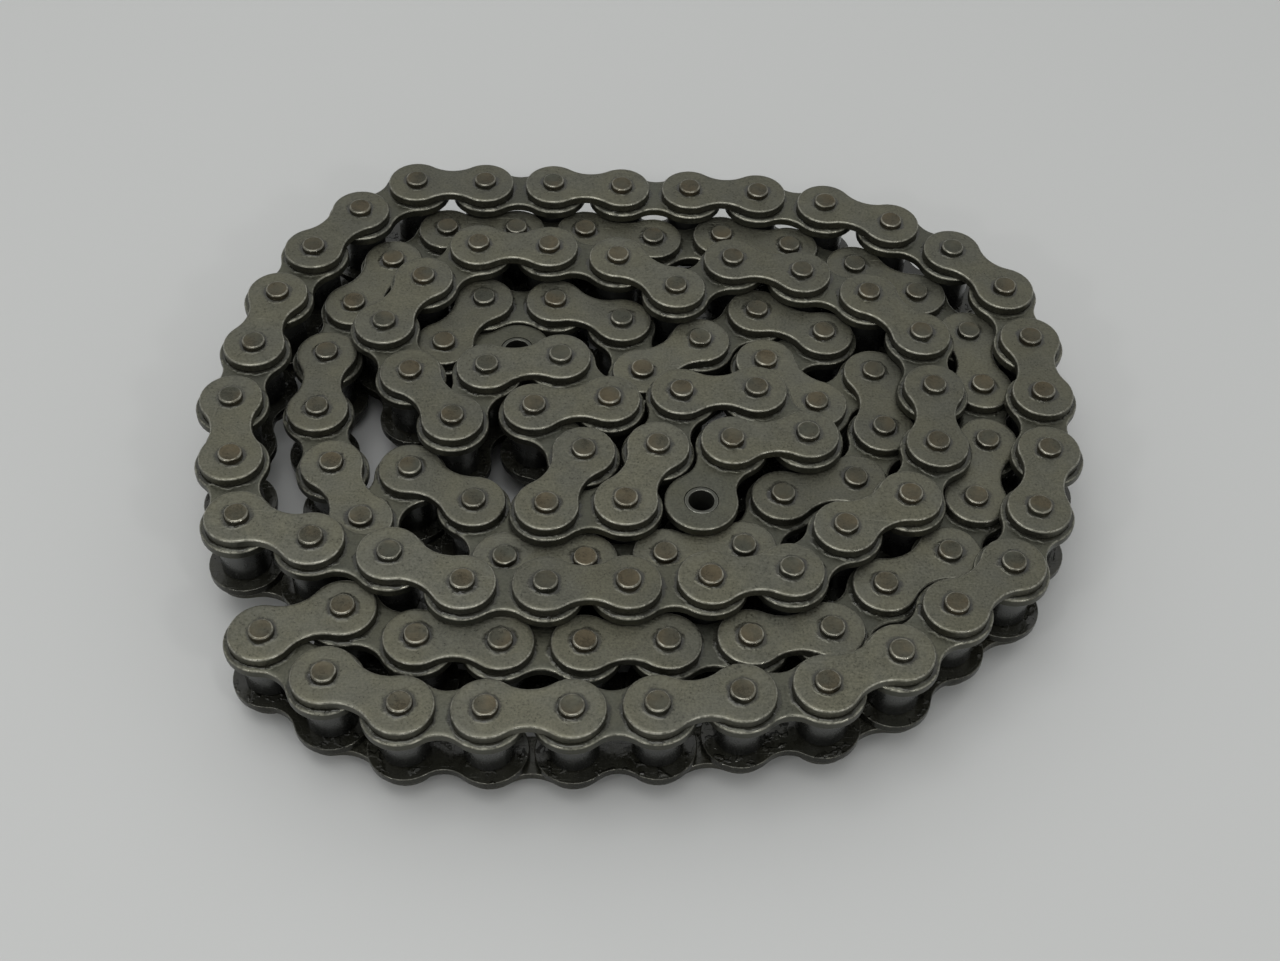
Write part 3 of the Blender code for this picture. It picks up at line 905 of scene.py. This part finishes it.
def build_steel(name, colours, roughness, grain, wear, oil, flat_level=0.0):
    """Makes one steel as a material.

    colours are the steel, its second tint and its rubbed metal, which is also painted sheen. grain is
    (cloud, speckle, scratches) and oil is (ring start, ring end, low side, amount) of the oil and its
    painted shade. flat_level is the height of a plate's outer flat, below which painted shade darkens
    the walls. Only plates have it.
    """
    material = bpy.data.materials.new(name)
    material.use_nodes = True
    tree = material.node_tree
    shader = tree.nodes["Principled BSDF"]
    grains, rubbed, film_and_shade = place_effects(tree, grain, wear, oil)
    rubbed_and_sheen_share = rubbed.outputs["Mask"]
    oil_amount = oil[3]

    shade = maths(tree, "MULTIPLY", grains.outputs["Tone"], attribute(tree, "tone").outputs["Fac"])
    # Painted shade on a plate's side walls and underside
    if flat_level:
        shade = paint_wall_shade(tree, shade, flat_level)
    # How much oil and painted shade lies at each point, less on the rubbed edges
    kept = maths(tree, "SUBTRACT", 1.0, maths(tree, "MULTIPLY", rubbed_and_sheen_share, UNOILED_EDGE))
    oil_and_shade_share = maths(tree, "MULTIPLY", maths(tree, "MULTIPLY", film_and_shade.outputs["Mask"], oil_amount), kept)
    lying = lying_faces(tree)
    pooled = maths(tree, "MULTIPLY", oil_and_shade_share, lying)

    set_colour(tree, shader, colours, grains.outputs["Tint"], rubbed_and_sheen_share, shade, oil_and_shade_share)
    rough = maths(tree, "MULTIPLY", grains.outputs["Tone"], roughness)
    set_gloss(tree, shader, rough, rubbed_and_sheen_share, oil_and_shade_share, pooled)
    oil_height = maths(tree, "MULTIPLY", film_and_shade.outputs["Height"], lying)
    set_relief(tree, shader, grains.outputs["Height"], oil_height, oil_amount)
    return material


print("a rubbed edge keeps", round(1.0 - UNOILED_EDGE, 1), "of its oil")

# %% The five steels
# A ring that ends before the middle of its joint is no ring
NO_RING = (-3.0 * MM, -2.0 * MM)
# The third colour of each steel is its rubbed metal, which also paints a sheen on the edges
OUTER_PLATE_STEEL = build_steel(
    "outer_plate_steel",
    colours=((0.126, 0.122, 0.089, 1.0), (0.114, 0.113, 0.091, 1.0), (0.42, 0.41, 0.35, 1.0)),
    roughness=0.40, grain=(0.5, 1.8, 1.5), wear=0.75,
    oil=(3.1 * MM, 4.2 * MM, 0.65, 0.95), flat_level=OUTER_PLATE_TOP)
INNER_PLATE_STEEL = build_steel(
    "inner_plate_steel",
    colours=((0.096, 0.095, 0.071, 1.0), (0.088, 0.089, 0.072, 1.0), (0.38, 0.37, 0.31, 1.0)),
    roughness=0.38, grain=(0.5, 1.4, 1.2), wear=0.75,
    oil=(7.9 * MM, 8.8 * MM, 0.9, 0.85), flat_level=INNER_PLATE_TOP)
PIN_STEEL = build_steel(
    "pin_steel",
    colours=((0.094, 0.077, 0.048, 1.0), (0.067, 0.068, 0.053, 1.0), (0.30, 0.29, 0.245, 1.0)),
    roughness=0.34, grain=(1.4, 1.2, 0.8), wear=0.9, oil=NO_RING + (0.6, 0.7))
BUSH_STEEL = build_steel(
    "bush_steel",
    colours=((0.090, 0.090, 0.076, 1.0), (0.083, 0.084, 0.073, 1.0), (0.34, 0.34, 0.30, 1.0)),
    roughness=0.34, grain=(0.2, 0.4, 0.2), wear=0.7, oil=NO_RING + (0.6, 0.7))
ROLLER_STEEL = build_steel(
    "roller_steel",
    colours=((0.114, 0.116, 0.111, 1.0), (0.098, 0.100, 0.096, 1.0), (0.26, 0.26, 0.24, 1.0)),
    roughness=0.30, grain=(0.3, 0.4, 0.2), wear=0.3, oil=NO_RING + (0.9, 0.8))
print("steels", [material.name for material in bpy.data.materials if material.name.endswith("_steel")])

# %% [markdown]
# ## Laying the links
#
# Every link is the same few shapes at another place, so the shape is built once and its mesh copied and
# moved. Linked copies of one mesh would be lighter, but a mesh of its own, with its points where the
# link lies, keeps the grain different from link to link. Each also gets a slightly different tone, as
# plates from different batches have.

# %% How a link is laid
TONE_SPREAD = 0.10
TONE_SEED = 11
tone_draw = random.Random(TONE_SEED)


def link_matrix(begin, end, up):
    """From a link's own space, with its middle at the origin and its length on X, to its place."""
    along = Vector(end - begin).normalized()
    upright = Vector(up)
    upright = (upright - along * upright.dot(along)).normalized()
    turn = Matrix((along, upright.cross(along), upright)).transposed().to_4x4()
    return Matrix.Translation(Vector((begin + end) / 2)) @ turn


def lay_link(name, shape, begin, end, up, node_name, free_end=0.0):
    """Lays a copy of a link's shape.

    free_end is -1 where the link's begin has no pin in it, 1 where its end has none, and otherwise 0.
    """
    data = shape.copy()
    data.name = name
    data.transform(link_matrix(begin, end, up))
    shade = 1.0 + tone_draw.uniform(-TONE_SPREAD, TONE_SPREAD)
    for title, value in (("tone", shade), ("free_end", free_end)):
        carried = data.attributes.new(title, "FLOAT", "POINT")
        carried.data.foreach_set("value", [value] * len(data.vertices))
    piece = bpy.data.objects.new(name, data)
    bpy.context.scene.collection.objects.link(piece)
    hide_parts(node_name)
    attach(piece, "root")
    return piece


print("tones differ by up to", TONE_SPREAD, "either way")

# %% Lay every link on the strand
outer_shapes = [style.data(f"outer_style_{i}", [OUTER_PLATE_STEEL, PIN_STEEL])
                for i, style in enumerate(outer_styles)]
inner_shape = inner_style.data("inner_style", [INNER_PLATE_STEEL, BUSH_STEEL, ROLLER_STEEL])
pieces = []
for number, (node_name, begin, end, up) in enumerate(outer_places, 1):
    shape = outer_shapes[number % LINK_STYLES]
    pieces.append(lay_link(f"outer_link_{number:02d}", shape, begin, end, up, node_name))
for number, (node_name, begin, end, up) in enumerate(inner_places, 1):
    free_end = {1: -1.0, len(inner_places): 1.0}.get(number, 0.0)
    name = f"inner_link_{number:02d}"
    pieces.append(lay_link(name, inner_shape, begin, end, up, node_name, free_end))
triangles = sum(len(piece.data.loops) - 2 * len(piece.data.polygons) for piece in pieces)
print(len(pieces), "links with", triangles, "triangles")

# %% [markdown]
# ## Floor
#
# The coil lies on a pale, slightly satin table top. A large plane is enough, because nothing else
# stands on it, and it is so wide that the camera doesn't see its edge. A faint unevenness in its gloss
# keeps it from looking like a cut-out.

# %% Pale floor
FLOOR_HALF_WIDTH = 8.0
FLOOR_COLOUR = (0.563, 0.568, 0.566, 1.0)
FLOOR_NOISE = (14.0, 3.0)
FLOOR_NOISE_STEP = (0.3, 0.7)
FLOOR_ROUGHNESS = (0.5, 0.6)


def build_floor():
    """A square plane at the height that the coil stands on."""
    half = FLOOR_HALF_WIDTH
    corners = [(-half, -half, 0.0), (half, -half, 0.0), (half, half, 0.0), (-half, half, 0.0)]
    data = bpy.data.meshes.new("table_top")
    data.from_pydata(corners, [], [(0, 1, 2, 3)])
    material = bpy.data.materials.new("pale_table")
    material.use_nodes = True
    tree = material.node_tree
    shader = tree.nodes["Principled BSDF"]
    shader.inputs["Base Color"].default_value = FLOOR_COLOUR
    uneven = noise(tree, new_node(tree, "ShaderNodeTexCoord").outputs["Object"], *FLOOR_NOISE)
    rough = ramp(tree, uneven, *FLOOR_NOISE_STEP, *FLOOR_ROUGHNESS)
    tree.links.new(rough, shader.inputs["Roughness"])
    data.materials.append(material)
    floor = bpy.data.objects.new("table_top", data)
    bpy.context.scene.collection.objects.link(floor)


build_floor()
print("floor is", 2 * FLOOR_HALF_WIDTH, "m wide")

# %% [markdown]
# ## Light
#
# The light in the photograph is broad and soft: the flats are even, the shadow is faint, and the only
# highlights are thin lines on the rolled edges and glints in the oil. A grey world gives the even part.
# It could have one strength all round, but then metal that faces the horizon would look as pale as
# metal that faces up. So it is dimmer near the floor, except on the camera's side, where it is brighter.

# %% World
ROOM_COLOUR = (0.985, 1.0, 0.985, 1.0)
ROOM_LIGHT = 0.52
HORIZON_LIGHT = 0.30
FRONT_LIGHT = 0.7
ROOM_STEP = (0.0, 0.5)
FRONT_STEP = (-0.8, 0.2)


def build_world():
    """A room whose strength depends on how high and how far to the front one looks."""
    world = bpy.data.worlds.new("soft_room")
    world.use_nodes = True
    tree = world.node_tree
    direction = tree.nodes.new("ShaderNodeSeparateXYZ")
    tree.links.new(new_node(tree, "ShaderNodeTexCoord").outputs["Generated"], direction.inputs[0])
    background = tree.nodes["Background"]
    background.inputs["Color"].default_value = ROOM_COLOUR
    near_floor = ramp(tree, direction.outputs["Y"], *FRONT_STEP, FRONT_LIGHT, HORIZON_LIGHT)
    strength = ramp(tree, direction.outputs["Z"], *ROOM_STEP, near_floor, ROOM_LIGHT)
    tree.links.new(strength, background.inputs["Strength"])
    return world


bpy.context.scene.world = build_world()
print("world strength from", HORIZON_LIGHT, "to", FRONT_LIGHT)

# %% [markdown]
# ### Lamps
#
# A wide panel overhead gives the plates their sheen and the coil its soft shadow, and a dim one behind
# lifts the far side. Large panels alone would leave the edges dull, so two small lamps at the front
# draw the thin lines on the rolled edges and the glints in the oil. The colours were matched with the
# Standard view transform, so the scene keeps it.

# %% Panels and small lamps
LAMP_TARGET = Vector((0.0, 0.0, 0.0))
PANEL_COLOUR = (1.0, 1.0, 0.99)
LAMP_COLOUR = (1.0, 0.99, 0.97)
# Name, place and size in metres, power in watts, colour
LAMPS = [
    ("overhead", (-0.15, -0.1, 1.1), (1.0, 0.6), 4.0, PANEL_COLOUR),
    ("behind", (0.0, 1.0, 1.0), (2.4, 0.9), 1.5, PANEL_COLOUR),
    ("front_left", (-0.55, -0.75, 0.75), (0.08, 0.08), 0.9, LAMP_COLOUR),
    ("front_right", (0.6, -0.7, 0.75), (0.08, 0.08), 0.9, LAMP_COLOUR),
]


def add_lamp(name, place, size, watts, colour):
    """A rectangular area lamp that points at the coil."""
    data = bpy.data.lights.new(name, "AREA")
    data.shape = "RECTANGLE"
    data.size, data.size_y = size
    data.energy = watts
    data.color = colour
    lamp = bpy.data.objects.new(name, data)
    lamp.location = place
    lamp.rotation_euler = (LAMP_TARGET - Vector(place)).to_track_quat("-Z", "Y").to_euler()
    bpy.context.scene.collection.objects.link(lamp)


for lamp_values in LAMPS:
    add_lamp(*lamp_values)
bpy.context.scene.view_settings.view_transform = "Standard"

# %% [markdown]
# ## Camera
#
# The camera's place was worked out from the pin heads: their spacing is known, so their perspective
# gives the height, the distance and the tilt. It looks down at about 51 degrees and is turned and
# rolled a little, as a hand-held picture is.

# %% Camera
CAMERA_PLACE = Vector((0.00985, -0.28978, 0.35760))
CAMERA_DOWN = math.radians(50.63)
CAMERA_LEFT = math.radians(1.80)
CAMERA_ROLL = math.radians(2.38)
FOCAL_PIXELS = 1756.5
PHOTO_WIDTH = 1280
SENSOR_WIDTH = 36.0
NEAREST_SEEN = 0.01

level_ahead = Vector((-math.sin(CAMERA_LEFT), math.cos(CAMERA_LEFT), 0.0))
ahead = level_ahead * math.cos(CAMERA_DOWN) - Vector((0.0, 0.0, math.sin(CAMERA_DOWN)))
level_right = level_ahead.cross(Vector((0.0, 0.0, 1.0)))
level_up = level_right.cross(ahead)
right = level_right * math.cos(CAMERA_ROLL) + level_up * math.sin(CAMERA_ROLL)
above = level_up * math.cos(CAMERA_ROLL) - level_right * math.sin(CAMERA_ROLL)
camera_data = bpy.data.cameras.new("camera")
camera_data.sensor_width = SENSOR_WIDTH
camera_data.lens = FOCAL_PIXELS / PHOTO_WIDTH * SENSOR_WIDTH
camera_data.clip_start = NEAREST_SEEN
camera = bpy.data.objects.new("camera", camera_data)
turned = Matrix((right, above, -ahead)).transposed().to_4x4()
camera.matrix_world = Matrix.Translation(CAMERA_PLACE) @ turned
bpy.context.scene.collection.objects.link(camera)
bpy.context.scene.camera = camera
print("lens in mm", round(camera_data.lens, 2))
